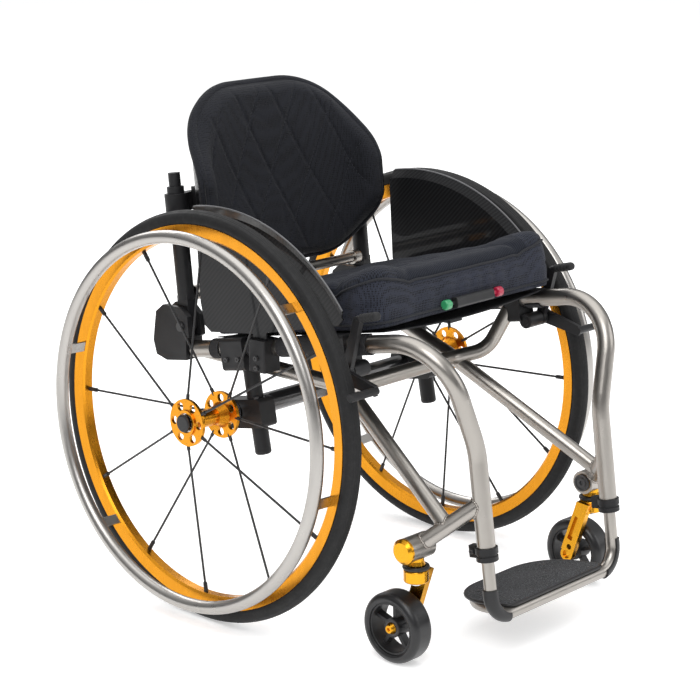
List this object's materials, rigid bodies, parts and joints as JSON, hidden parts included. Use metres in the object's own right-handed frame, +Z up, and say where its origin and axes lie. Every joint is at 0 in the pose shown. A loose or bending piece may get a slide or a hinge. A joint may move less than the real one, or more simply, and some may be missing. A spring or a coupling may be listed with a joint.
{
  "type": "manual wheelchair",
  "caption": "Rigid-frame manual wheelchair: bent tube frame, cambered spoked rear wheels with handrims, small front casters, padded seat and curved back, side guards and push brakes.",
  "frame": {"origin": "on the ground, at the middle of the chair's bounding box", "axes": "+Z up, -Y forwards, +X towards the chair's left"},
  "size_m": [0.6308, 0.7399, 0.7371],
  "materials": {
    "titanium": "satin brushed titanium",
    "handrim_metal": "satin warm grey aluminium",
    "gold_anodised": "satin gold anodised aluminium",
    "black_metal": "matte black anodised",
    "black_carbon": "gloss black carbon laminate",
    "black_plastic": "matte black plastic",
    "tyre_rubber": "matte black tyre rubber",
    "soft_tyre": "matte black polyurethane",
    "steel": "bright bearing steel",
    "black_fibre": "black fibre with a matte jacket",
    "cushion_fabric": "dark navy-black ribbed knit",
    "back_mesh": "black spacer mesh with diagonal stitching",
    "sling_fabric": "black nylon webbing",
    "grit_plate": "charcoal grit",
    "valve_knobs": "green knob and red knob"
  },
  "bodies": {
    "chair": {"welded_frame": "titanium", "axle_post_clamps": "black_metal", "axle_posts": "black_metal", "camber_clamps": "black_metal", "camber_tube": "black_carbon", "axle_receivers": "steel", "quick_release_axles": "steel", "caster_pitch_plugs": "gold_anodised", "caster_stem_bolts": "steel", "guard_receivers": "black_metal", "clamp_screws": "black_metal", "brake_brackets": "black_metal", "seat_sling": "sling_fabric", "seat_cushion": "cushion_fabric", "cushion_valve_body": "black_plastic", "back_hinge_brackets": "black_metal", "back_pivot_pins": "black_metal", "footrest_clamps": "black_metal"},
    "backrest": {"back_posts": "black_metal", "back_rigidizer": "titanium", "shell_mounts": "black_metal"},
    "shell": {"back_shell": "black_carbon", "back_pad": "back_mesh", "shell_hooks": "black_plastic"},
    "footrest": {"footrest_tube": "titanium", "footplate": "grit_plate", "footrest_guards": "black_plastic"},
    "valve_slide": {"cushion_valve_slide": "valve_knobs"},
    "wheel_right": {"wheel_hub_right": "gold_anodised", "hub_bearings_right": "steel", "wheel_spokes_right": "black_fibre", "wheel_rim_right": "gold_anodised", "wheel_tyre_right": "tyre_rubber", "handrim_right": "handrim_metal"},
    "button_right": {"axle_button_right": "black_plastic"},
    "fork_right": {"caster_fork_right": "gold_anodised", "fork_seal_right": "black_plastic", "caster_axle_right": "gold_anodised"},
    "caster_right": {"caster_core_right": "black_plastic", "caster_bearings_right": "steel", "caster_tyre_right": "soft_tyre"},
    "guard_right": {"side_guard_right": "black_carbon"},
    "lever_right": {"brake_lever_right": "black_metal"},
    "shoe_right": {"brake_shoe_right": "black_metal"},
    "wheel_left": {"wheel_hub_left": "gold_anodised", "hub_bearings_left": "steel", "wheel_spokes_left": "black_fibre", "wheel_rim_left": "gold_anodised", "wheel_tyre_left": "tyre_rubber", "handrim_left": "handrim_metal"},
    "button_left": {"axle_button_left": "black_plastic"},
    "fork_left": {"caster_fork_left": "gold_anodised", "fork_seal_left": "black_plastic", "caster_axle_left": "gold_anodised"},
    "caster_left": {"caster_core_left": "black_plastic", "caster_bearings_left": "steel", "caster_tyre_left": "soft_tyre"},
    "guard_left": {"side_guard_left": "black_carbon"},
    "lever_left": {"brake_lever_left": "black_metal"},
    "shoe_left": {"brake_shoe_left": "black_metal"}
  },
  "joints": [
    {"name": "back_angle", "type": "hinge", "parent": "chair", "child": "backrest", "pos_m": [0, 0.171, 0.408], "axis": [1, 0, 0], "range_deg": [-12, 8]},
    {"name": "shell_lift_off", "type": "slide", "parent": "backrest", "child": "shell", "axis": [0, 0.0872, 0.9962], "range_m": [0, 0.2]},
    {"name": "footrest_height", "type": "slide", "parent": "chair", "child": "footrest", "axis": [0, 0.1166, 0.9932], "range_m": [-0.025, 0.03]},
    {"name": "valve_slide", "type": "slide", "parent": "chair", "child": "valve_slide", "axis": [1, 0, 0], "range_m": [-0.008, 0.008]},
    {"name": "wheel_spin_right", "type": "hinge", "parent": "chair", "child": "wheel_right", "pos_m": [-0.251, 0.074, 0.29683], "axis": [-0.9994, 0, 0.0349], "continuous": true},
    {"name": "axle_button_right", "type": "slide", "parent": "chair", "child": "button_right", "axis": [0.9994, 0, -0.0349], "range_m": [0, 0.004]},
    {"name": "caster_swivel_right", "type": "hinge", "parent": "chair", "child": "fork_right", "pos_m": [-0.1967, -0.273, 0.128], "axis": [0, 0, 1], "continuous": true},
    {"name": "caster_roll_right", "type": "hinge", "parent": "fork_right", "child": "caster_right", "pos_m": [-0.204, -0.2446, 0.05], "axis": [1, 0, 0], "continuous": true},
    {"name": "guard_lift_right", "type": "slide", "parent": "chair", "child": "guard_right", "axis": [0, 0, 1], "range_m": [0, 0.25]},
    {"name": "brake_lever_right", "type": "hinge", "parent": "chair", "child": "lever_right", "pos_m": [-0.2108, -0.166, 0.395], "axis": [1, 0, 0], "range_deg": [0, 50]},
    {"name": "brake_shoe_right", "type": "hinge", "parent": "chair", "child": "shoe_right", "pos_m": [-0.223, -0.166, 0.395], "axis": [1, 0, 0], "range_deg": [0, 16.6]},
    {"name": "wheel_spin_left", "type": "hinge", "parent": "chair", "child": "wheel_left", "pos_m": [0.251, 0.074, 0.29683], "axis": [0.9994, 0, 0.0349], "continuous": true},
    {"name": "axle_button_left", "type": "slide", "parent": "chair", "child": "button_left", "axis": [-0.9994, 0, -0.0349], "range_m": [0, 0.004]},
    {"name": "caster_swivel_left", "type": "hinge", "parent": "chair", "child": "fork_left", "pos_m": [0.1967, -0.273, 0.128], "axis": [0, 0, 1], "continuous": true},
    {"name": "caster_roll_left", "type": "hinge", "parent": "fork_left", "child": "caster_left", "pos_m": [0.204, -0.2446, 0.05], "axis": [1, 0, 0], "continuous": true},
    {"name": "guard_lift_left", "type": "slide", "parent": "chair", "child": "guard_left", "axis": [0, 0, 1], "range_m": [0, 0.25]},
    {"name": "brake_lever_left", "type": "hinge", "parent": "chair", "child": "lever_left", "pos_m": [0.2108, -0.166, 0.395], "axis": [1, 0, 0], "range_deg": [0, 50]},
    {"name": "brake_shoe_left", "type": "hinge", "parent": "chair", "child": "shoe_left", "pos_m": [0.223, -0.166, 0.395], "axis": [1, 0, 0], "range_deg": [0, 16.6]}
  ],
  "couplings": [
    {"joint": "brake_shoe_right", "follows": "brake_lever_right", "ratio": 0.33},
    {"joint": "brake_shoe_left", "follows": "brake_lever_left", "ratio": 0.33}
  ]
}
